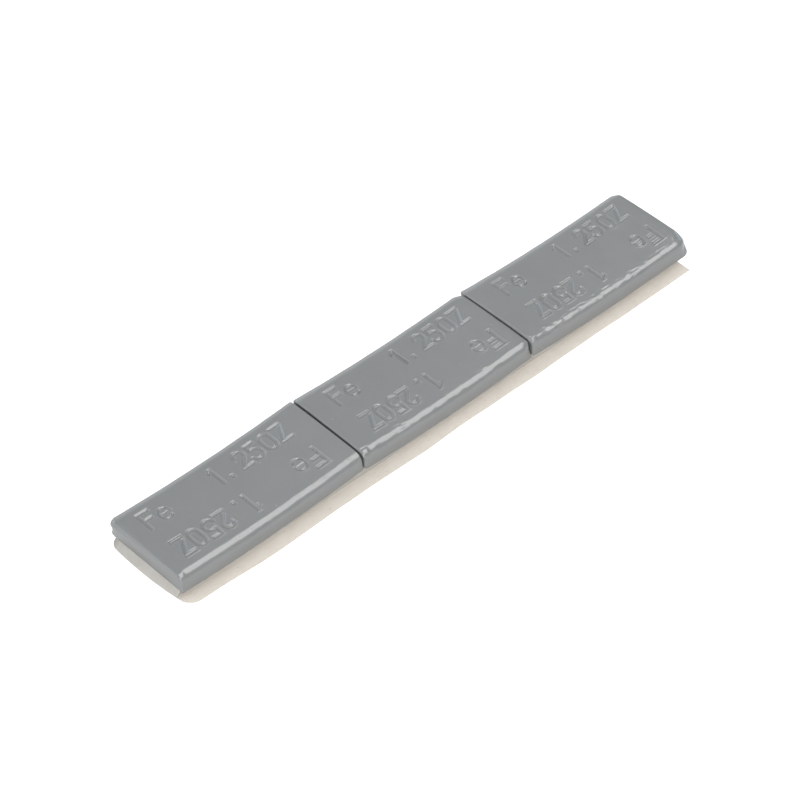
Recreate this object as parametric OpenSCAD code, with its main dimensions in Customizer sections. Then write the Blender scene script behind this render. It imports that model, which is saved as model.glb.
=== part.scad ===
// Strip of three stick-on steel wheel balance weights on one adhesive foam
// tape with its release liner still on. +X runs along the strip, +Y across it
// to the flush edge of the liner, +Z up. The origin is under the middle
// weight, on the plane that the strip lies on.

/* [Weights] */
// Length of the left weight along its underside
left_len = 48.2; // [46:0.1:50]
// Length of the middle weight along its underside
middle_len = 47.9; // [46:0.1:50]
// Length of the right weight along its underside
right_len = 48.8; // [46:0.1:50]
// Width of each weight
weight_w = 22; // [20:0.5:24]
// Thickness of each weight
weight_h = 4.45; // [3.8:0.05:6]
// Radius that the undersides are pressed to, that of the wheel's barrel
bend_r = 345; // [200:5:600]
// Radius of the long upper edge at the front
edge_r = 1.8; // [0.8:0.1:2.2]
// Reach of the long upper edge at the back, which is rolled over
back_a = 2.2; // [1.2:0.1:2.6]
// Depth of the long upper edge at the back
back_b = 0.85; // [0.3:0.05:1]
// Radius of the long lower edge at the back
lower_edge_r = 0.8; // [0.2:0.1:1.2]
// Gap between two weights at their undersides; it opens upwards
end_gap = 0.1; // [0.05:0.05:1]
// Small turn of the left weight on the tape, in degrees
left_turn = 0.4; // [0:0.05:0.5]
// Shift of the left weight toward the front
left_shift = 0.2; // [0:0.05:0.25]

/* [Sheared ends] */
// Reach of the rolled-over upper edge at the right-hand ends
roll_a = 2.5; // [1.6:0.1:3]
// Depth of the rolled-over upper edge at the right-hand ends
roll_b = 0.65; // [0.4:0.05:1]
// How far the foot of the left and middle weights stands out at the right
foot_out = 0.45; // [0.1:0.05:0.5]
// How far the foot of the right weight stands out at the right
nose = 0.5; // [0.3:0.1:1.2]
// How far the left-hand ends lean in at their foot
undercut = 0.85; // [0.6:0.05:1.2]
// Depth of the lip that hangs from the front edge at the far right end
lip_d = 0.6; // [0.3:0.1:1.1]

/* [Stamped marks] */
// Width of a stamped stroke
mark_w = 0.8; // [0.4:0.1:1.1]
// Depth of a stamped stroke
mark_depth = 0.3; // [0.1:0.05:0.5]
// Height of the capitals and figures, outside to outside
mark_h = 5.5; // [4.8:0.1:6]

/* [Tape and liner] */
// Thickness of the foam tape at the middle of a weight
foam_t = 1.6; // [0.8:0.1:2.5]
// Width of the foam tape
foam_w = 20; // [15:0.5:20]
// Thickness of the release liner
liner_t = 0.15; // [0.1:0.05:0.4]
// Width of the release liner
liner_w = 24.2; // [23.6:0.2:26]
// How far the liner stands out past the front of the weights
liner_front = 3; // [1:0.1:3.2]
// Radius of the slightly bowed cut at the left end of tape and liner
cut_r = 90; // [80:5:200]
// How far to the back of the middle the bow of that cut is centred
cut_back = 1.5; // [0:0.5:4]

/* [Hidden] */

steel_z = liner_t + foam_t;            // lowest line of the undersides
join = 24;                             // lowest line to a weight's joining end
pitch_l = 2 * join + end_gap;          // middle weight to left weight
pitch_r = middle_len + end_gap;        // middle weight to right weight
liner_y0 = -weight_w / 2 - liner_front;
liner_y1 = liner_y0 + liner_w;
foam_y1 = liner_y1 - 0.4;
foam_y0 = foam_y1 - foam_w;
tape_x0 = -pitch_l + join - left_len - 0.6;    // left end of tape and liner
tape_x1 = pitch_r + right_len - join - 1.9;    // right end of tape and liner

// angle on the bend for a distance along the underside
function arc_deg(s) = s / bend_r * 180 / PI;

// ---- frames -----------------------------------------------------------

// local frame on the underside at distance s from a weight's lowest line
module at_arc(s) {
    translate([0, 0, bend_r]) rotate([0, -arc_deg(s), 0])
        translate([0, 0, -bend_r]) children();
}

// a flat outline in X-Z pushed through the whole width
module across(w) {
    translate([0, w / 2, 0]) rotate([90, 0, 0]) linear_extrude(w) children();
}

// ---- the bar that a weight is cut from ---------------------------------

// what a rounding of radius r takes off the corner at the origin, the
// material lying towards -x and -y
module corner_off(r) {
    difference() {
        translate([-r, -r]) square([r + 1, r + 1]);
        translate([-r, -r]) circle(r = r, $fn = 64);
    }
}

// what a rolled-over edge takes off the corner at the origin, the material
// lying towards -x and -y: an arc tangent to the upper face, a along, b deep
module roll_2d(a, b) {
    rr = (a * a + b * b) / (2 * b);
    difference() {
        translate([-a, -b]) square([a + 1.5, b + 1]);
        translate([-a, -rr]) circle(r = rr, $fn = 96);
    }
}

// section across the bar: x is the distance from the bend's axis
module bar_section() {
    difference() {
        translate([bend_r - weight_h, -weight_w / 2])
            square([weight_h, weight_w]);
        translate([bend_r - weight_h, weight_w / 2])
            rotate(90) roll_2d(back_a, back_b);
        translate([bend_r - weight_h, -weight_w / 2])
            mirror([1, 0]) mirror([0, 1]) corner_off(edge_r);
        translate([bend_r, weight_w / 2]) corner_off(lower_edge_r);
    }
}

module bent_bar(s0, s1) {
    translate([0, 0, bend_r]) rotate([-90, 0, 0])
        rotate([0, 0, 90 - arc_deg(s1)])
            rotate_extrude(angle = arc_deg(s1 - s0), $fn = 720)
                bar_section();
}

// ---- what the shear and the press take off each end --------------------

// rolled-over upper edge on an end that faces +x: an arc tangent to the
// top, a along and b deep (b no more than a); out is how far the foot stands
// out past the upper edge
module roll_off(a, b, out = 0) {
    across(weight_w + 2) translate([-out, weight_h]) roll_2d(a, b);
}

// the same rolled-over edge at the foot, where the shear came in from below
module under_roll(a, b, out = 0) {
    across(weight_w + 2) translate([-out, 0]) mirror([0, 1]) roll_2d(a, b);
}

// rounded lower corner on an end that faces +x
module foot_off(r) {
    across(weight_w + 2) mirror([0, 1]) corner_off(r);
}

// end face leaning in towards its foot, by u over the height z
module lean_off(u, z) {
    across(weight_w + 2)
        polygon([[0, z], [-u * (z + 0.5) / z, -0.5], [1.5, -0.5], [1.5, z]]);
}

// end face whose foot stands out past the top by u, swelling as it goes down
module swell_off(u) {
    rr = (weight_h * weight_h + u * u) / (2 * u);
    across(weight_w + 2) difference() {
        translate([-u - 0.5, 0]) square([u + 2, weight_h + 1]);
        translate([-rr, 0]) circle(r = rr, $fn = 360);
    }
}

// upright corner of radius r in plan, at the back (side 1) or front (-1)
module plan_off(r, side) {
    translate([0, side * weight_w / 2, -2])
        linear_extrude(weight_h + 3)
            mirror([0, side < 0 ? 1 : 0]) corner_off(r);
}

// a point at height h over the underside, s along it, in the X-Z plane
function on_bend(s, h) = [(bend_r - h) * sin(arc_deg(s)),
                          bend_r - (bend_r - h) * cos(arc_deg(s))];

// lip that hangs from the front lower edge, from nothing at s0 to d at s1
module front_lip(s0, s1, d) {
    translate([0, -weight_w / 2 + 0.45, 0]) rotate([90, 0, 0])
        linear_extrude(0.45)
            polygon(concat([on_bend(s1, 1), on_bend(s0, 1)],
                [for (i = [0:8]) let (t = i / 8)
                    on_bend(s0 + (s1 - s0) * t, -d * pow(t, 1.6))]));
}

// ---- stamped marks -----------------------------------------------------

// a straight stroke between two points, square at its ends
module stroke(x0, y0, x1, y1) {
    l = sqrt((x1 - x0) * (x1 - x0) + (y1 - y0) * (y1 - y0));
    translate([x0, y0]) rotate(atan2(y1 - y0, x1 - x0))
        translate([-mark_w / 2, -mark_w / 2]) square([l + mark_w, mark_w]);
}

// a round stroke of centreline radius r from angle a0 to a1
module round_stroke(cx, cy, r, a0, a1) {
    n = 8;
    translate([cx, cy]) intersection() {
        difference() {
            circle(r = r + mark_w / 2, $fn = 48);
            circle(r = r - mark_w / 2, $fn = 48);
        }
        polygon(concat([[0, 0]], [for (i = [0:n])
            let (a = a0 + (a1 - a0) * i / n) 3 * r * [cos(a), sin(a)]]));
    }
}

// a closed oblong stroke of centreline half width r
module oblong_stroke(r, y0, y1) {
    difference() {
        union() {
            translate([0, y0 + r]) circle(r = r + mark_w / 2, $fn = 48);
            translate([0, y1 - r]) circle(r = r + mark_w / 2, $fn = 48);
            translate([-r - mark_w / 2, y0 + r])
                square([2 * r + mark_w, y1 - y0 - 2 * r]);
        }
        translate([0, y0 + r]) circle(r = r - mark_w / 2, $fn = 48);
        translate([0, y1 - r]) circle(r = r - mark_w / 2, $fn = 48);
        translate([-r + mark_w / 2, y0 + r])
            square([2 * r - mark_w, y1 - y0 - 2 * r]);
    }
}

// top and foot of the stroke centrelines
ct = mark_h - mark_w / 2;
cb = mark_w / 2;

module mark_capital_f() {
    stroke(-1.35, cb, -1.35, ct);
    stroke(-1.35, ct, 1.35, ct);
    stroke(-1.35, 3.0, 0.9, 3.0);
}
module mark_small_e() {
    round_stroke(0, 1.95, 1.4, 0, 320);
    stroke(-1.2, 2.1, 1.2, 2.1);
}
module mark_one() {
    stroke(0, cb, 0, ct);
    stroke(-1.05, ct - 0.75, -0.2, ct - 0.15);
}
module mark_point() {
    translate([-0.55, 0]) square([1.1, 1.1]);
}
module mark_two() {
    round_stroke(0, ct - 1.3, 1.3, -30, 180);
    stroke(1.05, ct - 2.1, -1.2, cb + 0.2);
    stroke(-1.2, cb, 1.3, cb);
}
module mark_five() {
    stroke(-1.05, ct, 1.15, ct);
    stroke(-1.05, ct, -1.05, 3.2);
    round_stroke(-0.1, cb + 1.4, 1.4, -160, 130);
}
module mark_letter_o() {
    oblong_stroke(1.2, cb, ct);
}
module mark_letter_z() {
    stroke(-1.35, ct, 1.35, ct);
    stroke(1.35, ct - 0.2, -1.35, cb + 0.2);
    stroke(-1.35, cb, 1.35, cb);
}

// one mark sunk into the top at s along and y across, up to its foot line
module sink(s, y) {
    at_arc(s) translate([0, y, weight_h - mark_depth])
        linear_extrude(mark_depth + 1) children();
}

// the row of marks, for a stamp centred at s: material and mass
module mark_row(s, y, d) {
    t = d > 0 ? 0 : 180;
    sink(s - d * 17.6, y) rotate(t) mark_capital_f();
    sink(s - d * 14.15, y) rotate(t) mark_small_e();
    sink(s + d * 0.05, y) rotate(t) mark_one();
    sink(s + d * 2.45, y) rotate(t) mark_point();
    sink(s + d * 6.65, y) rotate(t) mark_two();
    sink(s + d * 10.3, y) rotate(t) mark_five();
    sink(s + d * 13.8, y) rotate(t) mark_letter_o();
    sink(s + d * 17.35, y) rotate(t) mark_letter_z();
}

// the stamp marks the top twice, the second time turned half round
module stamp(s, y) {
    mark_row(s, y + 2.2, 1);
    mark_row(s, y - 2.2, -1);
}

// ---- the pieces ---------------------------------------------------------

module left_weight() {
    color([0.55, 0.57, 0.58]) translate([-pitch_l, -left_shift, steel_z])
        rotate([0, 0, left_turn]) difference() {
            bent_bar(join - left_len, join + 0.3 + foot_out);
            at_arc(join - left_len) mirror([1, 0, 0]) {
                roll_off(0.75, 0.5);
                lean_off(undercut - 0.25, 3.2);
                plan_off(2.4, 1);
            }
            at_arc(join + 0.3 + foot_out) {
                swell_off(foot_out);
                roll_off(0.25, 0.22, foot_out);
                foot_off(0.5);
                plan_off(0.3, 1);
                plan_off(0.9, -1);
            }
            stamp(-0.3, 0.4);
        }
}

module middle_weight() {
    color([0.55, 0.57, 0.58]) translate([0, 0, steel_z])
        difference() {
            bent_bar(0.1 - join, middle_len - join + 0.35 + foot_out);
            at_arc(0.1 - join) mirror([1, 0, 0]) {
                roll_off(0.5, 0.35);
                lean_off(undercut, weight_h - 0.35);
                under_roll(2.2, 0.3, undercut);
                plan_off(0.6, 1);
                plan_off(0.5, -1);
            }
            at_arc(middle_len - join + 0.35 + foot_out) {
                swell_off(foot_out);
                roll_off(roll_a, roll_b, foot_out);
                foot_off(0.4);
                plan_off(1.3, 1);
                plan_off(1.7, -1);
            }
            stamp(1.5, 0.5);
        }
}

module right_weight() {
    color([0.55, 0.57, 0.58]) translate([pitch_r, 0, steel_z])
        difference() {
            union() {
                bent_bar(-join, right_len - join + nose);
                front_lip(right_len - join - 13, right_len - join + nose, lip_d);
            }
            at_arc(-join) mirror([1, 0, 0]) {
                roll_off(0.6, 0.4);
                lean_off(undercut + 0.15, weight_h - 0.4);
                under_roll(2.2, 0.3, undercut + 0.15);
                plan_off(1.6, 1);
                plan_off(0.5, -1);
            }
            at_arc(right_len - join + nose) {
                swell_off(nose);
                roll_off(roll_a, roll_b + 0.1, nose);
                foot_off(1);
                plan_off(2.2, 1);
                plan_off(3.2, -1);
            }
            stamp(2.0, 0.5);
        }
}

// plan outline: bowed cut with rounded corners at the left end, square cut
// at the right end
module tape_plan(y0, y1, r) {
    difference() {
        intersection() {
            translate([tape_x0, y0]) square([tape_x1 - tape_x0, y1 - y0]);
            translate([tape_x0 + cut_r, cut_back]) circle(r = cut_r, $fn = 360);
        }
        translate([tape_x0 + 0.3, y1]) mirror([1, 0]) corner_off(r);
        translate([tape_x0 + 0.3, y0]) mirror([1, 0]) mirror([0, 1])
            corner_off(r);
    }
}

// a solid drum whose lowest line lies at z, along Y
module drum(r, z) {
    translate([0, 0, z + r]) rotate([90, 0, 0])
        cylinder(r = r, h = 60, center = true, $fn = 720);
}

// the curve that tape and liner follow at the lifted left end: everything
// on or above the drum's underside, and everything right of its middle
module lifted_left(r, z) {
    translate([-pitch_l, 0, 0]) {
        intersection() {
            drum(r, z);
            translate([-join - 5, -30, z - 1]) cube([join + 5, 60, 20]);
        }
        translate([0, -30, z]) cube([160, 60, 20]);
    }
}

module adhesive_foam_tape() {
    color([0.80, 0.79, 0.77]) difference() {
        intersection() {
            linear_extrude(steel_z + 3) tape_plan(foam_y0, foam_y1, 1.6);
            lifted_left(bend_r + foam_t, liner_t);
        }
        // beds of the three weights
        translate([-pitch_l, 0, 0]) rotate([0, 0, left_turn])
            drum(bend_r, steel_z);
        drum(bend_r, steel_z);
        translate([pitch_r, 0, 0]) drum(bend_r, steel_z);
    }
}

module release_liner() {
    color([0.88, 0.85, 0.81]) intersection() {
        linear_extrude(steel_z + 3) tape_plan(liner_y0, liner_y1, 2.6);
        difference() {
            lifted_left(bend_r + foam_t + liner_t, 0);
            lifted_left(bend_r + foam_t, liner_t);
        }
    }
}

left_weight();
middle_weight();
right_weight();
adhesive_foam_tape();
release_liner();
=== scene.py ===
import math

import bpy
import numpy as np
from mathutils import Matrix, Vector


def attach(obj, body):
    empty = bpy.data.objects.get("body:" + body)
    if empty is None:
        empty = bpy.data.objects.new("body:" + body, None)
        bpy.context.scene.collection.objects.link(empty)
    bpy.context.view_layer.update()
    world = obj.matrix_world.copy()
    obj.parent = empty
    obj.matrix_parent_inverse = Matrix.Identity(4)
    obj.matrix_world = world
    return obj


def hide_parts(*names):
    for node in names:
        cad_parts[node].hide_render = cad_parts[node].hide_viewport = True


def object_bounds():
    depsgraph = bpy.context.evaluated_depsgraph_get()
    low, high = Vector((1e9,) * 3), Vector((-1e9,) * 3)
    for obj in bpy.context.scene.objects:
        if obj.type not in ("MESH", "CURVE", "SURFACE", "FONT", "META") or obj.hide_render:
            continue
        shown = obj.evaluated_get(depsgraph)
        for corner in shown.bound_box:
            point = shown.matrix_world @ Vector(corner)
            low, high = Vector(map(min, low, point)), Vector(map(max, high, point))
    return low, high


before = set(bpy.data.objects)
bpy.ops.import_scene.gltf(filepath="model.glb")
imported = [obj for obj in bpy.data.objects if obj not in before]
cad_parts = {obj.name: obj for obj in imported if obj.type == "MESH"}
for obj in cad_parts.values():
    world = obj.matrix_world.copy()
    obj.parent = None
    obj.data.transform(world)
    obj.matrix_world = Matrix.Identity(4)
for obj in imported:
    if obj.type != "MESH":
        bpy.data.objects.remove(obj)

cad_lo, cad_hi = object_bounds()

# Everything below is in millimetres until a mesh is written, in the frame of
# the CAD: X along the strip, Y across it, Z up, Z = 0 on the surface that the
# liner lies on.
MM = 0.001
BEND = 345.0
WIDE = 22.0
HIGH = 4.45
STEEL_Z = 1.75
FOAM_T = 1.6
LINER_T = 0.15
JOIN = 24.0
LEFT_LEN, MIDDLE_LEN, RIGHT_LEN = 48.2, 47.9, 48.8
END_GAP = 0.1
PITCH_L = 2 * JOIN + END_GAP
PITCH_R = MIDDLE_LEN + END_GAP
LEFT_Y, OTHER_Y = -0.2, -0.12
LINER_Y0, LINER_Y1 = -14.0, 10.2
FOAM_Y0, FOAM_Y1 = -10.2, 9.8
TAPE_X0 = -PITCH_L + JOIN - LEFT_LEN - 0.6
TAPE_X1 = PITCH_R + RIGHT_LEN - JOIN - 1.9


# ---- small helpers ---------------------------------------------------------

def ramp(x, a, b):
    """0 below a, 1 above b, smooth in between."""
    t = np.clip((x - a) / (b - a), 0, 1)
    return t * t * t * (t * (6 * t - 15) + 10)


class Waves:
    """A smooth random field in space: a sum of plane waves whose wavelengths
    lie between two bounds, of unit spread."""

    def __init__(self, seed, short, long, count=48, flat=False):
        rng = np.random.default_rng(seed)
        d = rng.normal(size=(count, 3))
        if flat:
            d[:, 2] = 0
        d /= np.linalg.norm(d, axis=1)[:, None]
        size = np.exp(rng.uniform(math.log(short), math.log(long), count))
        self.k = d * (2 * math.pi / size)[:, None]
        self.phase = rng.uniform(0, 2 * math.pi, count)
        self.gain = math.sqrt(2.0 / count)

    def __call__(self, p):
        out = np.zeros(len(p))
        for i in range(0, len(p), 20000):
            out[i:i + 20000] = np.cos(p[i:i + 20000] @ self.k.T + self.phase).sum(1)
        return out * self.gain


def new_mesh(name, verts, faces, material, sharp=40):
    me = bpy.data.meshes.new(name)
    inside = np.clip(np.asarray(verts) * MM, np.array(cad_lo) + 2e-6,
                     np.array(cad_hi) - 2e-6)
    me.from_pydata(inside.tolist(), [], faces)
    me.validate()
    me.update()
    me.shade_smooth()
    me.set_sharp_from_angle(angle=math.radians(sharp))
    ob = bpy.data.objects.new(name, me)
    bpy.context.scene.collection.objects.link(ob)
    me.materials.append(material)
    return ob


def spaced(*stops):
    """Grid lines from (start, end, pitch) runs."""
    out = []
    for a, b, pitch in stops:
        n = max(1, int(round(abs(b - a) / pitch)))
        out.append(np.linspace(a, b, n + 1)[:-1])
    out.append([stops[-1][1]])
    return np.concatenate(out)


def round_in(a, b, ra, rb):
    """Two faces (negative inside) that meet in an oval rounding, which takes
    ra off the first face's neighbour and rb off the second's."""
    u, v = (a + ra) / ra, (b + rb) / rb
    r = np.maximum(np.hypot(u, v), 1e-6)
    g = np.maximum(np.hypot(u / ra, v / rb), 1e-6)
    return np.where((u > 0) & (v > 0), (r - 1) * r / g, np.maximum(a, b))


# ---- stamped marks ----------------------------------------------------------
# Strokes in millimetres, measured from the middle of the stamp: the symbol of
# iron and the mass of one weight, once each way up.

def bar_sd(x, y, x0, y0, x1, y1, hw, e0=0.0, e1=0.0):
    l = math.hypot(x1 - x0, y1 - y0)
    ux, uy = (x1 - x0) / l, (y1 - y0) / l
    t = (x - x0) * ux + (y - y0) * uy
    n = -(x - x0) * uy + (y - y0) * ux
    qx = np.abs(t - (l + e1 - e0) / 2) - (l + e0 + e1) / 2
    qy = np.abs(n) - hw
    return np.hypot(np.maximum(qx, 0), np.maximum(qy, 0)) + np.minimum(
        np.maximum(qx, qy), 0)


def arc_sd(x, y, cx, cy, rx, ry, a0, a1, hw):
    """A round stroke; rx and ry are its centreline's half axes."""
    mid, half = math.radians((a0 + a1) / 2), math.radians((a1 - a0) / 2)
    px, py = x - cx, y - cy
    ang = np.arctan2(py / ry, px / rx)
    off = (ang - mid + math.pi) % (2 * math.pi) - math.pi
    rr = np.hypot(px, py)
    c, s = np.cos(ang), np.sin(ang)
    ring = np.abs(np.hypot(px / rx, py / ry) - 1) * np.hypot(rx * c, ry * s)
    ends = []
    for a in (math.radians(a0), math.radians(a1)):
        ends.append(np.hypot(px - rx * math.cos(a), py - ry * math.sin(a)))
    return np.where(np.abs(off) <= half, ring, np.minimum(*ends)) - hw


H = 0.53          # half a stroke, rim to rim
TOP, FOOT = 7.8 - H, 2.15 + H


def glyphs():
    """(x range, function of x and y) for each mark of the upper row."""
    def cap_f(x, y):
        return np.minimum.reduce([
            bar_sd(x, y, -18.95, FOOT, -18.95, TOP, H, H, H),
            bar_sd(x, y, -18.95, TOP, -16.4, TOP, H, H, H),
            bar_sd(x, y, -18.95, 5.12, -16.9, 5.12, H, H, H)])

    def small_e(x, y):
        return np.minimum(
            arc_sd(x, y, -14.15, 4.2, 1.36, 1.63, 0, 318, 0.38),
            bar_sd(x, y, -15.4, 4.3, -12.9, 4.3, 0.2, 0, 0))

    def one(x, y):
        return np.minimum(
            bar_sd(x, y, -0.03, FOOT, -0.03, TOP, H, H, H),
            bar_sd(x, y, -1.35, 6.25, -0.2, 7.1, H * 0.8, 0, 0))

    def point(x, y):
        return bar_sd(x, y, 1.85, 2.85, 3.05, 2.85, 0.62)

    def two(x, y):
        return np.minimum.reduce([
            arc_sd(x, y, 6.7, 6.1, 1.22, 1.17, -28, 170, H),
            bar_sd(x, y, 7.72, 5.5, 5.5, 3.0, H, 0, 0),
            bar_sd(x, y, 5.3, FOOT, 7.9, FOOT, H, 0.35, H)])

    def five(x, y):
        return np.minimum.reduce([
            bar_sd(x, y, 9.35, TOP, 11.2, TOP, H, H, H),
            bar_sd(x, y, 9.3, 5.3, 9.3, TOP, H * 0.95, 0.3, 0),
            arc_sd(x, y, 9.95, 4.15, 1.4, 1.45, -160, 120, H)])

    def cap_o(x, y):
        ring = np.minimum(
            arc_sd(x, y, 13.8, 6.05, 1.2, 1.2, 0, 180, H),
            arc_sd(x, y, 13.8, 3.9, 1.2, 1.2, 180, 360, H))
        return np.minimum.reduce([
            ring, bar_sd(x, y, 12.6, 3.9, 12.6, 6.05, H),
            bar_sd(x, y, 15.0, 3.9, 15.0, 6.05, H)])

    def cap_z(x, y):
        return np.minimum.reduce([
            bar_sd(x, y, 16.1, TOP, 18.5, TOP, H, H * 0.8, H),
            bar_sd(x, y, 18.45, 7.0, 16.15, 3.0, H, 0, 0),
            bar_sd(x, y, 16.1, FOOT, 18.6, FOOT, H, H * 0.8, H)])

    return [((-20.5, -15.2), cap_f), ((-16.6, -11.6), small_e),
            ((-2.6, 1.3), one), ((1.0, 3.9), point), ((4.1, 9.2), two),
            ((7.9, 12.6), five), ((11.3, 16.2), cap_o), ((14.7, 20.1), cap_z)]


def stamped(s, y, depth, wall):
    """Height taken off the top (negative down) by one row, upright."""
    sd = np.full(len(s), 3.0)
    band = (y > 1.2) & (y < 8.8)
    for (x0, x1), fn in glyphs():
        m = band & (s > x0) & (s < x1)
        if m.any():
            sd[m] = np.minimum(sd[m], fn(s[m], y[m]))
    t = np.clip(-sd / wall, 0, 1)
    sunk = t * t * (3 - 2 * t)
    lip = np.exp(-((sd - 0.12) / 0.12) ** 2)
    return -depth * sunk + 0.024 * lip * ramp(sd, -0.05, 0.05)


# ---- a weight ----------------------------------------------------------------

def weight(name, x_at, y_at, turn, s0, s1, left, right, stamp, mark, seed,
           peel, knots, material):
    """One bowed, stamped weight. left and right say what the shear left at
    each end: reach and depth of the rounding at the top (with near or far more
    of it at the front or back corner), toe and heel of the one at the foot,
    plan radii front and back, lean in at the foot (lean_back at the back
    corner), skew of the cut, what the shear pinched off the radius of the long
    front edge, and the lip that hangs from the front lower edge."""
    edge = right.get("edge", 1.8)
    s_lines = spaced((s0, s0 + 0.6, 0.1), (s0 + 0.6, s0 + 2.6, 0.16),
                     (s0 + 2.6, s1 - 2.8, 0.118), (s1 - 2.8, s1 - 0.6, 0.16),
                     (s1 - 0.6, s1, 0.1))
    y_top = spaced((-11, -8.6, 0.12), (-8.6, -7.9, 0.23),
                   (-7.9, -1.1, 0.105), (-1.1, 2.1, 0.40),
                   (2.1, 8.9, 0.105), (8.9, 11, 0.19))
    z_lines = spaced((0, 0.3, 0.15), (0.3, 3.0, 0.45), (3.0, HIGH, 0.145))
    coarse = [0, 1, 2, 4, 9, 15] + [len(y_top) // 2] + [
        len(y_top) - 1 - i for i in (15, 9, 6, 4, 2, 1, 0)]
    coarse = sorted(set(coarse))

    # the box whose faces carry the grid, one key for each vertex
    ns, ny, nz = len(s_lines), len(y_top), len(z_lines)
    index = {}
    keys = []

    def vid(i, j, k):
        key = (i, j, k)
        if key not in index:
            index[key] = len(keys)
            keys.append(key)
        return index[key]

    faces = []
    # top
    grid = [[vid(i, j, nz - 1) for j in range(ny)] for i in range(ns)]
    for i in range(ns - 1):
        a, b = grid[i], grid[i + 1]
        faces += [(a[j], b[j], b[j + 1], a[j + 1]) for j in range(ny - 1)]
    # front and back
    for j, flip in ((0, False), (ny - 1, True)):
        grid = [[vid(i, j, k) for k in range(nz)] for i in range(ns)]
        for i in range(ns - 1):
            a, b = grid[i], grid[i + 1]
            if flip:
                faces += [(a[k], a[k + 1], b[k + 1], b[k]) for k in range(nz - 1)]
            else:
                faces += [(a[k], b[k], b[k + 1], a[k + 1]) for k in range(nz - 1)]
    # ends
    for i, flip in ((0, False), (ns - 1, True)):
        grid = [[vid(i, j, k) for k in range(nz)] for j in range(ny)]
        for j in range(ny - 1):
            a, b = grid[j], grid[j + 1]
            if flip:
                faces += [(a[k], b[k], b[k + 1], a[k + 1]) for k in range(nz - 1)]
            else:
                faces += [(a[k], a[k + 1], b[k + 1], b[k]) for k in range(nz - 1)]
    # underside, with fewer lines across
    for i in range(ns - 1):
        for c in range(len(coarse) - 1):
            j0, j1 = coarse[c], coarse[c + 1]
            if i == 0:
                row = [vid(0, j, 0) for j in range(j0, j1 + 1)]
                faces.append(tuple(row + [vid(1, j1, 0), vid(1, j0, 0)]))
            elif i == ns - 2:
                row = [vid(ns - 1, j, 0) for j in range(j1, j0 - 1, -1)]
                faces.append(tuple([vid(i, j0, 0), vid(i, j1, 0)] + row))
            else:
                faces.append((vid(i, j0, 0), vid(i, j1, 0),
                              vid(i + 1, j1, 0), vid(i + 1, j0, 0)))
    k = np.array(keys)
    box = np.stack([s_lines[k[:, 0]], y_top[k[:, 1]], z_lines[k[:, 2]]], 1)

    core = np.stack([np.clip(box[:, 0], s0 + 2.6, s1 - 2.8),
                     np.clip(box[:, 1], -8.6, 8.9),
                     np.full(len(box), 2.1)], 1)
    way = box - core
    way /= np.linalg.norm(way, axis=1)[:, None]

    def field(p):
        """Negative inside the weight, positive outside."""
        s, y, h = p.T
        top = h - (HIGH - 0.16 * np.clip(np.abs(y) / 9.2, 0, 1.2) ** 2.2)
        side = np.abs(y) - WIDE / 2
        back_up = round_in(side, top, 2.2, 0.85)
        tight = edge - left["pinch"] * ramp(s0 + 2.3 - s, 0.0, 1.1)
        front_up = round_in(side, top, tight, tight)
        low_r = np.where(y > 0, 0.8, 0.16)
        lip = right.get("lip", 0.0) * np.clip((s - s1 + 13) / 13, 0, 1.1) ** 1.6
        lip += left.get("lip", 0.0) * np.clip((s0 + 18 - s) / 18, 0, 1)
        ring = 11 - right["front"]
        u = np.maximum(s - (s1 + 0.3 - right["front"]), 0)
        past = np.where(u > 0, ring + np.hypot(u, np.maximum(-y - ring, 0)), -y)
        lip = ((lip + right.get("burr", 0.0)) * ramp(past, 10.1, 10.75)
               * ramp(-y, 3.0, 7.5))
        low = round_in(side, -h - lip, low_r, low_r)
        bar = np.where(h > 2.1, np.where(y > 0, back_up, front_up), low)
        up, down, flank = (np.exp(np.minimum(d, 0.3) / 0.4)
                           for d in (top, -h, side))
        total = up + down + flank
        at_left = s < 0
        e = {}
        for key in ("reach", "depth", "toe", "heel", "front", "back", "lean",
                    "lean_back", "knee", "skew", "near", "far", "deep"):
            e[key] = np.where(at_left, left.get(key, 0.0), right.get(key, 0.0))
        grow = e["near"] * ramp(-y, 7.0, 10.0) + e["far"] * ramp(y, -7.0, 10.0)
        lean = e["lean"] + e["lean_back"] * np.clip((y + 9.2) / 19, 0, 1)
        rise = np.clip(h / np.maximum(e["knee"], 0.1), 0, 1)
        lean = lean * (1 - np.where(lean < 0, rise * rise, rise))
        end = np.where(at_left, s0 + e["skew"] * y - s,
                       s - s1 - e["skew"] * y) + lean
        plan = np.where(y > 0, e["back"], e["front"])
        ra = (up * (e["reach"] + grow) + down * e["toe"] + flank * plan) / total
        deep = 0.45 * grow + e["deep"] * ramp(-y, 6.0, 10.0)
        rb = (up * (e["depth"] + deep) + down * e["heel"]
              + flank * plan) / total
        u = np.maximum(end + ra, 0) / ra
        v = np.maximum(bar + rb, 0) / rb
        return rb * (np.hypot(u, v) - 1)

    near, far = np.zeros(len(box)), np.full(len(box), 9.0)
    for _ in range(26):
        t = (near + far) / 2
        outside = field(core + way * t[:, None]) > 0
        far = np.where(outside, t, far)
        near = np.where(outside, near, t)
    p = core + way * near[:, None]

    # outward direction of the plain shape, for the small waves
    g = np.zeros_like(p)
    for a in range(3):
        d = np.zeros(3)
        d[a] = 0.02
        g[:, a] = field(p + d) - field(p - d)
    g /= np.maximum(np.linalg.norm(g, axis=1), 1e-9)[:, None]

    s, y, h = p.T
    sc, yc = stamp
    on_top = h > HIGH - 0.7
    depth = mark[0] * (1 + 0.12 * Waves(seed + 5, 6, 20, 12)(p))
    marks = np.zeros(len(p))
    marks[on_top] = stamped((s - sc)[on_top], (y - yc)[on_top],
                            depth[on_top], mark[1])
    marks[on_top] += stamped(-(s - sc)[on_top], -(y - yc)[on_top],
                             depth[on_top], mark[1])

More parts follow.
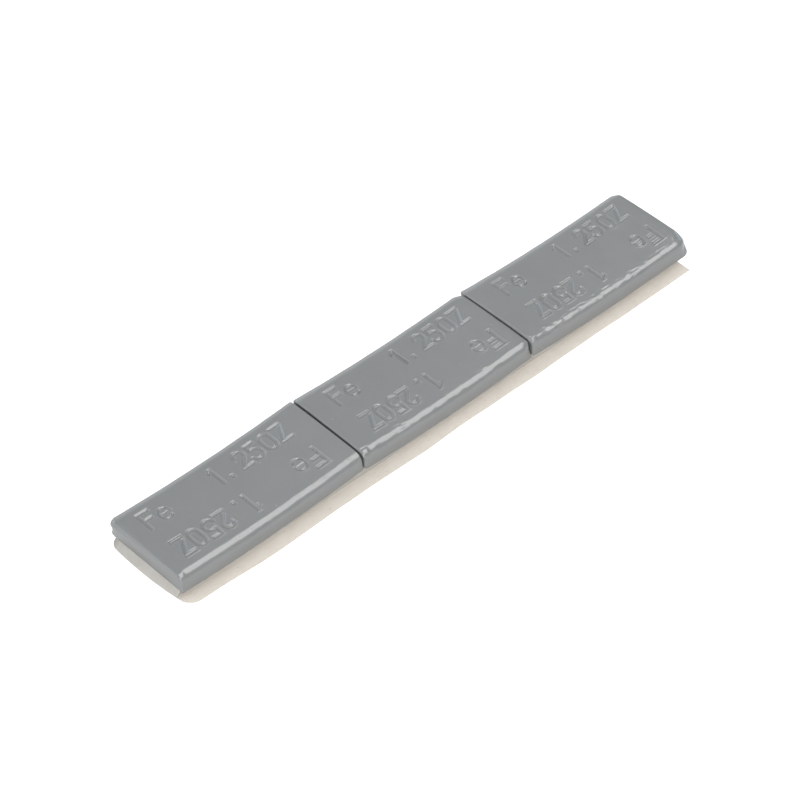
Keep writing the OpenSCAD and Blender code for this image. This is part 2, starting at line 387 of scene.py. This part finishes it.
    # paint: long soft waves everywhere, and runs along the front upper edge
    paint = 0.010 * Waves(seed, 4, 9)(p) + 0.0022 * Waves(seed + 1, 1.0, 2.2)(p)
    run = Waves(seed + 2, 0.9, 2.6, 60)(p * (0.8, 1.3, 1.3))
    braid = Waves(seed + 4, 0.5, 0.85, 60)(p * (0.2, 1, 1))
    some = ramp(Waves(seed + 6, 5, 12, 16)(p), -0.9, 0.5)
    swell = 0.5 + 0.5 * ramp(Waves(seed + 3, 5, 14, 16)(p), -0.6, 0.9)
    front = ramp(-y, 8.4, 9.6) * ramp(h, 1.6, 2.8)
    paint += (peel * 0.011 * run * swell + knots * 0.020 * braid * some) * front
    keep = 1 - ramp(-h, -0.6, -0.1)
    p = p + g * (paint * keep)[:, None]
    p[:, 2] += marks
    p[:, 2] = np.minimum(p[:, 2], HIGH + 0.004)
    p[:, 1] = np.clip(p[:, 1], -WIDE / 2, WIDE / 2)
    p[:, 0] = np.clip(p[:, 0], s0 - 11 * abs(left.get("skew", 0)),
                      s1 + 11 * abs(right.get("skew", 0))
                      + max(0, -right.get("lean", 0)))

    # bend, turn and place
    s, y, h = p.T
    a = s / BEND
    x = (BEND - h) * np.sin(a)
    z = BEND - (BEND - h) * np.cos(a)
    c, n = math.cos(math.radians(turn)), math.sin(math.radians(turn))
    out = np.stack([x_at + x * c - y * n, y_at + x * n + y * c, STEEL_Z + z], 1)
    ob = new_mesh(name, out, faces, material, 50)
    return ob


# ---- materials ---------------------------------------------------------------

class Nodes:
    def __init__(self, name):
        self.mat = bpy.data.materials.new(name)
        self.mat.use_nodes = True
        self.tree = self.mat.node_tree
        self.bsdf = self.tree.nodes["Principled BSDF"]
        self.coord = self.add("ShaderNodeTexCoord").outputs["Object"]

    def add(self, kind, **values):
        node = self.tree.nodes.new(kind)
        for key, value in values.items():
            if hasattr(node, key):
                setattr(node, key, value)
            else:
                node.inputs[key.replace("_", " ")].default_value = value
        return node

    def link(self, a, b):
        self.tree.links.new(a, b)

    def noise(self, scale, detail=3.0, rough=0.5, at=None):
        node = self.add("ShaderNodeTexNoise", Scale=scale, Detail=detail,
                        Roughness=rough)
        self.link(at or self.coord, node.inputs["Vector"])
        return node.outputs["Fac"]

    def cells(self, scale, feature="F1", randomness=1.0, at=None):
        node = self.add("ShaderNodeTexVoronoi", Scale=scale,
                        Randomness=randomness)
        node.feature = feature
        self.link(at or self.coord, node.inputs["Vector"])
        return node.outputs

    def mapped(self, value, a, b, c, d, smooth=False):
        node = self.add("ShaderNodeMapRange")
        node.clamp = True
        if smooth:
            node.interpolation_type = "SMOOTHSTEP"
        for key, x in zip(("From Min", "From Max", "To Min", "To Max"),
                          (a, b, c, d)):
            node.inputs[key].default_value = x
        self.link(value, node.inputs["Value"])
        return node.outputs["Result"]

    def math(self, op, a, b):
        node = self.add("ShaderNodeMath")
        node.operation = op
        for i, x in enumerate((a, b)):
            if isinstance(x, (int, float)):
                node.inputs[i].default_value = x
            else:
                self.link(x, node.inputs[i])
        return node.outputs[0]

    def mix(self, fac, a, b):
        node = self.add("ShaderNodeMix")
        node.data_type = "RGBA"
        for i, x in ((6, a), (7, b)):
            if isinstance(x, tuple):
                node.inputs[i].default_value = (*x, 1)
            else:
                self.link(x, node.inputs[i])
        if isinstance(fac, (int, float)):
            node.inputs[0].default_value = fac
        else:
            self.link(fac, node.inputs[0])
        return node.outputs[2]

    def bump(self, height, distance, strength=1.0, after=None):
        node = self.add("ShaderNodeBump")
        node.inputs["Strength"].default_value = strength
        node.inputs["Distance"].default_value = distance
        self.link(height, node.inputs["Height"])
        if after is not None:
            self.link(after, node.inputs["Normal"])
        return node.outputs["Normal"]


def paint_material(name):
    """Grey powder coat on steel: semi-gloss, a fine orange peel, faint
    mottling, and a few specks of dust."""
    m = Nodes(name)
    b = m.bsdf
    broad = m.noise(140, 2.0)
    fine = m.noise(2600, 3.0, 0.6)
    grain = m.noise(9000, 2.0, 0.6)
    colour = m.mix(m.mapped(broad, 0.3, 0.7, 0, 1),
                   (0.161, 0.166, 0.167), (0.170, 0.175, 0.176))
    colour = m.mix(m.mapped(fine, 0.35, 0.65, 0, 0.5), colour,
                   (0.176, 0.180, 0.180))
    colour = m.mix(m.mapped(grain, 0.42, 0.75, 0, 0.35), colour,
                   (0.145, 0.150, 0.152))
    spots = m.cells(420)
    dot = m.mapped(spots["Distance"], 0.045, 0.075, 1, 0)
    few = m.mapped(m.noise(90, 1.0), 0.56, 0.60, 0, 1)
    m_dust = m.math("MULTIPLY", dot, few)
    colour = m.mix(m.math("MULTIPLY", m_dust, 0.5), colour, (0.30, 0.28, 0.25))
    m.link(colour, b.inputs["Base Color"])
    rough = m.mapped(m.noise(900, 3.0), 0.3, 0.7, 0.13, 0.18)
    rough = m.math("ADD", rough, m.math("MULTIPLY", m_dust, 0.3))
    m.link(rough, b.inputs["Roughness"])
    b.inputs["IOR"].default_value = 1.6
    peel = m.noise(1100, 2.0, 0.5)
    n = m.bump(peel, 0.0000055)
    n = m.bump(grain, 0.0000007, after=n)
    m.link(n, b.inputs["Normal"])
    return m.mat


def foam_material(name):
    """Closed-cell foam of a double-sided tape, cut across its cells; the pits of the cells
    carry painted shade.
    """
    m = Nodes(name)
    b = m.bsdf
    cell = m.cells(5200)
    pit_depth_and_pit_shade = m.mapped(cell["Distance"], 0.05, 0.42, 0, 1, True)
    broad = m.noise(260, 3.0)
    colour = m.mix(m.mapped(broad, 0.3, 0.7, 0, 1),
                   (0.322, 0.306, 0.281), (0.360, 0.343, 0.318))
    # painted shade: the colour darkens toward each cell's middle, where the bump sinks a
    # pit
    colour = m.mix(m.mapped(pit_depth_and_pit_shade, 0, 1, 0.22, 0), colour, (0.265, 0.254, 0.235))
    m.link(colour, b.inputs["Base Color"])
    m.link(m.mapped(m.noise(700), 0.3, 0.7, 0.78, 0.92), b.inputs["Roughness"])
    n = m.bump(pit_depth_and_pit_shade, 0.00005, 0.6)
    n = m.bump(m.noise(1500, 3.0), 0.00006, 0.5, n)
    m.link(n, b.inputs["Normal"])
    return m.mat


def liner_material(name):
    """Coated release paper: warm white, faint fibre clouds, a slight sheen
    from the silicone, and specks."""
    m = Nodes(name)
    b = m.bsdf
    cloud = m.noise(330, 4.0, 0.6)
    fibre_at = m.add("ShaderNodeMapping")
    m.link(m.coord, fibre_at.inputs["Vector"])
    fibre_at.inputs["Scale"].default_value = (0.35, 1.6, 1.0)
    fibre = m.noise(2400, 3.0, 0.6, fibre_at.outputs["Vector"])
    colour = m.mix(m.mapped(cloud, 0.3, 0.7, 0, 1),
                   (0.520, 0.482, 0.434), (0.548, 0.512, 0.466))
    colour = m.mix(m.mapped(fibre, 0.40, 0.68, 0, 0.45), colour,
                   (0.450, 0.408, 0.360))
    spots = m.cells(520)
    dot = m.mapped(spots["Distance"], 0.05, 0.10, 1, 0)
    few = m.mapped(m.noise(210, 1.0), 0.53, 0.58, 0, 0.55)
    colour = m.mix(m.math("MULTIPLY", dot, few), colour, (0.26, 0.21, 0.16))
    m.link(colour, b.inputs["Base Color"])
    m.link(m.mapped(m.noise(600), 0.3, 0.7, 0.55, 0.68), b.inputs["Roughness"])
    b.inputs["Specular IOR Level"].default_value = 0.3
    n = m.bump(cloud, 0.00002, 0.5)
    n = m.bump(fibre, 0.000006, 0.6, n)
    m.link(n, b.inputs["Normal"])
    return m.mat


paint = paint_material("grey_powder_coat_paint")
foam_mat = foam_material("foam_tape_foam")
liner_mat = liner_material("release_liner_paper")


# ---- tape and liner ------------------------------------------------------------

def lift(x):
    """How far the tape's underside has left the surface, at x: it follows the
    bow of the left weight over its left half."""
    d = np.maximum(-(x + PITCH_L), 0)
    r = BEND + FOAM_T
    return r - np.sqrt(r * r - d * d)


def bed(x):
    """Height of the weights' undersides above the surface at x."""
    out = np.full(len(x), 9.0)
    for at in (-PITCH_L, 0.0, PITCH_R):
        d = np.minimum(np.abs(x - at), 60)
        out = np.minimum(out, STEEL_Z + BEND - np.sqrt(BEND ** 2 - d * d))
    return out


def left_cut(y, y0, y1, r0, r1):
    """x of the left-hand cut at each y: slightly bowed, with round corners of
    radius r0 at the front and r1 at the back."""
    x = TAPE_X0 + 90 - np.sqrt(90.0 ** 2 - (y - 1.5) ** 2)
    for near, r in ((y - y0, r0), (y1 - y, r1)):
        t = np.clip((r - near) / r, 0, 1)
        x = x + r * (1 - np.sqrt(np.maximum(1 - t * t, 0)))
    return x


def front_line(x):
    """How far the liner's front edge stands back from its furthest line: it
    was slit by hand, and swells here and there."""
    out = 0.30 + 0.05 * np.sin(x / 5.3 + 1.0) + 0.03 * np.sin(x / 2.1)
    for at, wide, far in ((-50, 6.5, 0.30), (-38, 5, 0.10), (-9, 4.5, 0.26),
                          (26, 8, 0.10), (60, 9, 0.02)):
        out = out - far * np.exp(-((x - at) / wide) ** 2)
    return np.maximum(out, 0.0)


def slab(name, y0, y1, r_left, r_back, r_right, low, high, nx, ny, nz,
         material, rough=None, sharp=35):
    """A closed strip between two height functions, with its own left cut."""
    ys = np.concatenate([
        y0 + r_left * (1 - np.cos(np.linspace(0, math.pi / 2, 9))),
        np.linspace(y0 + r_left, y1 - r_back, ny)[1:-1],
        y1 - r_back * (1 - np.cos(np.linspace(math.pi / 2, 0, 9)))])
    xa = left_cut(ys, y0, y1, r_left, r_back)
    near = np.minimum(ys - y0, y1 - ys)
    t = np.clip((r_right - near) / r_right, 0, 1)
    xb = TAPE_X1 - r_right * (1 - np.sqrt(np.maximum(1 - t * t, 0)))
    f = np.concatenate([np.linspace(0, 0.02, 14)[:-1],
                        np.linspace(0.02, 0.99, nx), np.linspace(0.99, 1, 8)[1:]])
    nxx, nyy = len(f), len(ys)
    x = xa[None] + (xb - xa)[None] * f[:, None]
    y = np.broadcast_to(ys[None], x.shape)
    verts, ids = [], {}
    zl, zh = low(x.ravel(), y.ravel()), high(x.ravel(), y.ravel())
    zl, zh = zl.reshape(x.shape), zh.reshape(x.shape)
    for k in range(nz + 1):
        w = k / nz
        z = zl * (1 - w) + zh * w
        if k in (0, nz):
            ids[k] = len(verts) + np.arange(nxx * nyy).reshape(nxx, nyy)
            verts += np.stack([x, y, z], 2).reshape(-1, 3).tolist()
        else:
            rim = np.full((nxx, nyy), -1)
            border = np.zeros((nxx, nyy), bool)
            border[[0, -1], :] = True
            border[:, [0, -1]] = True
            rim[border] = len(verts) + np.arange(border.sum())
            ids[k] = rim
            verts += np.stack([x[border], y[border], z[border]], 1).tolist()
    faces = []
    a = ids[nz]
    faces += np.stack([a[:-1, :-1], a[1:, :-1], a[1:, 1:], a[:-1, 1:]],
                      2).reshape(-1, 4).tolist()
    a = ids[0]
    faces += np.stack([a[:-1, :-1], a[:-1, 1:], a[1:, 1:], a[1:, :-1]],
                      2).reshape(-1, 4).tolist()
    for k in range(nz):
        a, b = ids[k], ids[k + 1]
        for p, q, flip in ((a[:, 0], b[:, 0], False), (a[:, -1], b[:, -1], True),
                           (a[0, :], b[0, :], True), (a[-1, :], b[-1, :], False)):
            quad = np.stack([p[:-1], p[1:], q[1:], q[:-1]], 1)
            faces += (quad[:, ::-1] if flip else quad).tolist()
    verts = np.array(verts)
    if rough is not None:
        verts = rough(verts)
    return new_mesh(name, verts, faces, material, sharp)


foam_waves = Waves(71, 0.5, 1.6, 60)
foam_long = Waves(72, 4, 15, 30)


def foam_rough(v):
    """The cut sides of the foam: uneven, and at the left a slanting cut that
    starts at the foot of the steel and ends at the liner's edge."""
    x, y, z = v.T
    lo, hi = lift(x) + LINER_T, bed(x)
    w = np.clip((z - lo) / np.maximum(hi - lo, 1e-6), 0, 1)
    waist = 4 * w * (1 - w)
    out = v.copy()
    n = foam_waves(v)
    side = np.where(y > FOAM_Y1 - 0.02, 1, np.where(y < FOAM_Y0 + 0.02, -1, 0))
    out[:, 1] -= side * (waist * (0.07 + 0.03 * n) + 0.02)
    near = 1 - ramp(x - TAPE_X0, 0.6, 5.0)
    out[:, 0] += near * (1.4 * w + 0.05 * waist * n)
    return out


foam = slab("adhesive_foam_tape_body", FOAM_Y0, FOAM_Y1, 0.5, 2.4, 0.3,
            lambda x, y: lift(x) + LINER_T + 0.002,
            lambda x, y: bed(x) - 0.004,
            520, 40, 8, foam_mat, foam_rough)


def liner_low(x, y):
    return lift(x)


def liner_high(x, y):
    return lift(x) + LINER_T


def liner_outline(v):
    """The uneven front edge, felt less and less away from it."""
    out = v.copy()
    out[:, 1] += front_line(v[:, 0]) * ramp(-v[:, 1], 8.0, -LINER_Y0)
    return out


liner = slab("release_liner_sheet", LINER_Y0, LINER_Y1, 2.5, 2.6, 0.25,
             liner_low, liner_high, 420, 60, 2, liner_mat, liner_outline)


# ---- the three weights -----------------------------------------------------------

left_w = weight(
    "left_weight_body", -PITCH_L, LEFT_Y, 0.4, -24.09, JOIN + 0.3,
    dict(reach=0.35, depth=0.35, toe=0.12, heel=0.12, front=0.12, back=2.2,
         lean=0.43, lean_back=0.45, knee=HIGH, skew=-0.03, far=1.3, lip=0.12,
         pinch=0.35),
    dict(reach=0.25, depth=0.22, toe=0.5, heel=0.5, front=0.9, back=0.3,
         lean=-0.45, knee=HIGH, skew=0.01),
    (-0.3, 0.4), (0.28, 0.34), 11, 0.55, 0.12, paint)
middle_w = weight(
    "middle_weight_body", 0.0, OTHER_Y, 0.0, 0.1 - JOIN,
    MIDDLE_LEN - JOIN + 0.35,
    dict(reach=0.35, depth=0.28, toe=1.2, heel=0.3, front=0.4, back=0.6,
         lean=0.6, lean_back=0.25, knee=HIGH, skew=0.005, near=0.3, pinch=0.45),
    dict(reach=2.4, depth=0.55, toe=0.4, heel=0.4, front=2.0, back=2.4,
         lean=-0.45, knee=HIGH, skew=0.006, burr=0.2, edge=1.7),
    (1.5, 0.5), (0.32, 0.30), 23, 1.3, 0.7, paint)
right_w = weight(
    "right_weight_body", PITCH_R, OTHER_Y, -0.3, -JOIN, RIGHT_LEN - JOIN,
    dict(reach=0.4, depth=0.35, toe=1.2, heel=0.3, front=0.4, back=0.8,
         lean=0.6, lean_back=0.4, knee=HIGH, skew=-0.01, near=0.3, pinch=0.35),
    dict(reach=2.6, depth=0.75, toe=0.9, heel=0.8, front=3.2, back=2.4,
         lean=-0.4, knee=HIGH, near=1.2, deep=0.7, lip=0.5, burr=0.2,
         edge=1.35),
    (2.0, 0.5), (0.32, 0.30), 37, 1.4, 1.3, paint)

for piece, node, slot in (
        (left_w, "left_weight", "grey_powder_coat"),
        (middle_w, "middle_weight", "grey_powder_coat"),
        (right_w, "right_weight", "grey_powder_coat"),
        (foam, "adhesive_foam_tape", "foam"),
        (liner, "release_liner", "liner_paper")):
    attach(piece, "root")
    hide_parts(node)


# ---- floor -----------------------------------------------------------------------

me = bpy.data.meshes.new("floor")
e = 2.5
me.from_pydata([(-e, -e, -0.00001), (e, -e, -0.00001), (e, e, -0.00001),
                (-e, e, -0.00001)], [], [(0, 1, 2, 3)])
floor = bpy.data.objects.new("floor", me)
bpy.context.scene.collection.objects.link(floor)
fm = Nodes("floor_white")
fm.bsdf.inputs["Base Color"].default_value = (0.35, 0.35, 0.35, 1)
fm.bsdf.inputs["Roughness"].default_value = 0.9
fm.bsdf.inputs["Specular IOR Level"].default_value = 0.0
fm.bsdf.inputs["Emission Color"].default_value = (1, 1, 1, 1)
# paler to the eye than to the pieces, as paper that is cut out in print
ray = fm.add("ShaderNodeLightPath")
fm.link(fm.mapped(ray.outputs["Is Camera Ray"], 0, 1, 0.46, 0.95),
        fm.bsdf.inputs["Emission Strength"])
me.materials.append(fm.mat)


# ---- light -----------------------------------------------------------------------

def panel(name, toward, distance, wide, long, radiance, colour, along):
    """A soft box seen from the part in direction toward, whose long side lies
    along the given direction."""
    z = Vector(toward).normalized()
    y = Vector(along)
    y = (y - z * y.dot(z)).normalized()
    x = y.cross(z)
    data = bpy.data.lights.new(name, "AREA")
    data.shape = "RECTANGLE"
    data.size, data.size_y = wide, long
    data.energy = radiance * math.pi * wide * long
    data.color = colour
    ob = bpy.data.objects.new(name, data)
    rot = Matrix((x, y, z)).transposed().to_4x4()
    ob.matrix_world = Matrix.Translation(z * distance) @ rot
    bpy.context.scene.collection.objects.link(ob)
    return ob


panel("key_softbox", (0.486, -0.161, 0.859), 1.5, 0.66, 1.72, 4.6,
      (1.0, 0.985, 0.96), (0, 1, 0))
panel("left_front_fill", (-0.84, -0.45, 0.30), 1.3, 0.9, 0.6, 6.0,
      (1.0, 1.0, 1.0), (0, 0, 1))
panel("front_fill", (-0.2, -0.75, 0.63), 1.3, 0.8, 0.8, 5.6,
      (1.0, 1.0, 1.0), (0, 0, 1))
panel("back_window", (-0.08, 0.86, 0.50), 1.3, 0.5, 0.30, 3.4,
      (0.50, 0.74, 1.0), (0, 0, 1))
panel("right_window", (0.93, 0.24, 0.27), 1.3, 0.36, 0.26, 2.3,
      (0.50, 0.74, 1.0), (0, 0, 1))

world = bpy.data.worlds.new("studio")
bpy.context.scene.world = world
world.use_nodes = True
wt = world.node_tree
for node in list(wt.nodes):
    wt.nodes.remove(node)
wo = wt.nodes.new("ShaderNodeOutputWorld")
coord = wt.nodes.new("ShaderNodeTexCoord")
sep = wt.nodes.new("ShaderNodeSeparateXYZ")
wt.links.new(coord.outputs["Generated"], sep.inputs[0])


def w_map(value, a, b, c, d):
    node = wt.nodes.new("ShaderNodeMapRange")
    node.interpolation_type = "SMOOTHSTEP"
    for key, x in zip(("From Min", "From Max", "To Min", "To Max"), (a, b, c, d)):
        node.inputs[key].default_value = x
    wt.links.new(value, node.inputs["Value"])
    return node.outputs["Result"]


def w_math(op, a, b):
    node = wt.nodes.new("ShaderNodeMath")
    node.operation = op
    for i, x in enumerate((a, b)):
        if isinstance(x, (int, float)):
            node.inputs[i].default_value = x
        else:
            wt.links.new(x, node.inputs[i])
    return node.outputs[0]


# a light tent: an even glow, a paler wall behind the part, low down, and the
# dark of the room at the front right
behind = w_math("ADD", w_math("MULTIPLY", sep.outputs["X"], 0.55),
                w_math("MULTIPLY", sep.outputs["Y"], 0.84))
wall = w_math("MULTIPLY", w_map(behind, 0.2, 0.75, 0, 1),
              w_map(sep.outputs["Z"], 0.32, 0.60, 1, 0))
ahead = w_math("ADD", w_math("MULTIPLY", sep.outputs["X"], 0.55),
               w_math("ADD", w_math("MULTIPLY", sep.outputs["Y"], -0.79),
                      w_math("MULTIPLY", sep.outputs["Z"], 0.27)))
wall = w_math("MULTIPLY", wall, w_map(sep.outputs["X"], 0.60, 0.78, 1, 0))
aside = w_math("MULTIPLY", w_map(sep.outputs["X"], -0.15, -0.5, 0, 1),
               w_map(sep.outputs["Y"], 0.0, 0.3, 0, 1))
level = w_math("ADD", w_math("MULTIPLY", wall, 1.1), 0.38)
level = w_math("ADD", level, w_math("MULTIPLY", aside, 1.1))
level = w_math("MULTIPLY", level, w_map(ahead, 0.70, 0.90, 1, 0.22))
bg = wt.nodes.new("ShaderNodeBackground")
bg.inputs["Color"].default_value = (0.95, 0.98, 1.0, 1)
wt.links.new(level, bg.inputs["Strength"])
plain = wt.nodes.new("ShaderNodeBackground")
plain.inputs["Color"].default_value = (1, 1, 1, 1)
plain.inputs["Strength"].default_value = 1.0
path = wt.nodes.new("ShaderNodeLightPath")
pick = wt.nodes.new("ShaderNodeMixShader")
wt.links.new(path.outputs["Is Camera Ray"], pick.inputs[0])
wt.links.new(bg.outputs[0], pick.inputs[1])
wt.links.new(plain.outputs[0], pick.inputs[2])
wt.links.new(pick.outputs[0], wo.inputs["Surface"])

scene = bpy.context.scene
scene.view_settings.view_transform = "Standard"
scene.view_settings.look = "None"
scene.view_settings.exposure = 0.0
scene.view_settings.gamma = 1.0


# ---- camera ----------------------------------------------------------------------

az, el = math.radians(-43.3188), math.radians(44.6121)
back = Vector((math.sin(az) * math.cos(el), -math.cos(az) * math.cos(el),
               math.sin(el)))
right_v = Vector((math.cos(az), math.sin(az), 0))
up_v = back.cross(right_v)
place = back * 549.752 + right_v * -2.4263 + up_v * -2.4370 + Vector(
    (0, 0, STEEL_Z))
cam = bpy.data.cameras.new("camera")
cam.sensor_fit = "HORIZONTAL"
cam.sensor_width = 36
cam.lens = 2646.189 * 36 / 800
cam.clip_start, cam.clip_end = 0.01, 20
cam_ob = bpy.data.objects.new("camera", cam)
cam_ob.matrix_world = Matrix.Translation(place * MM) @ Matrix(
    (right_v, up_v, back)).transposed().to_4x4()
scene.collection.objects.link(cam_ob)
scene.camera = cam_ob
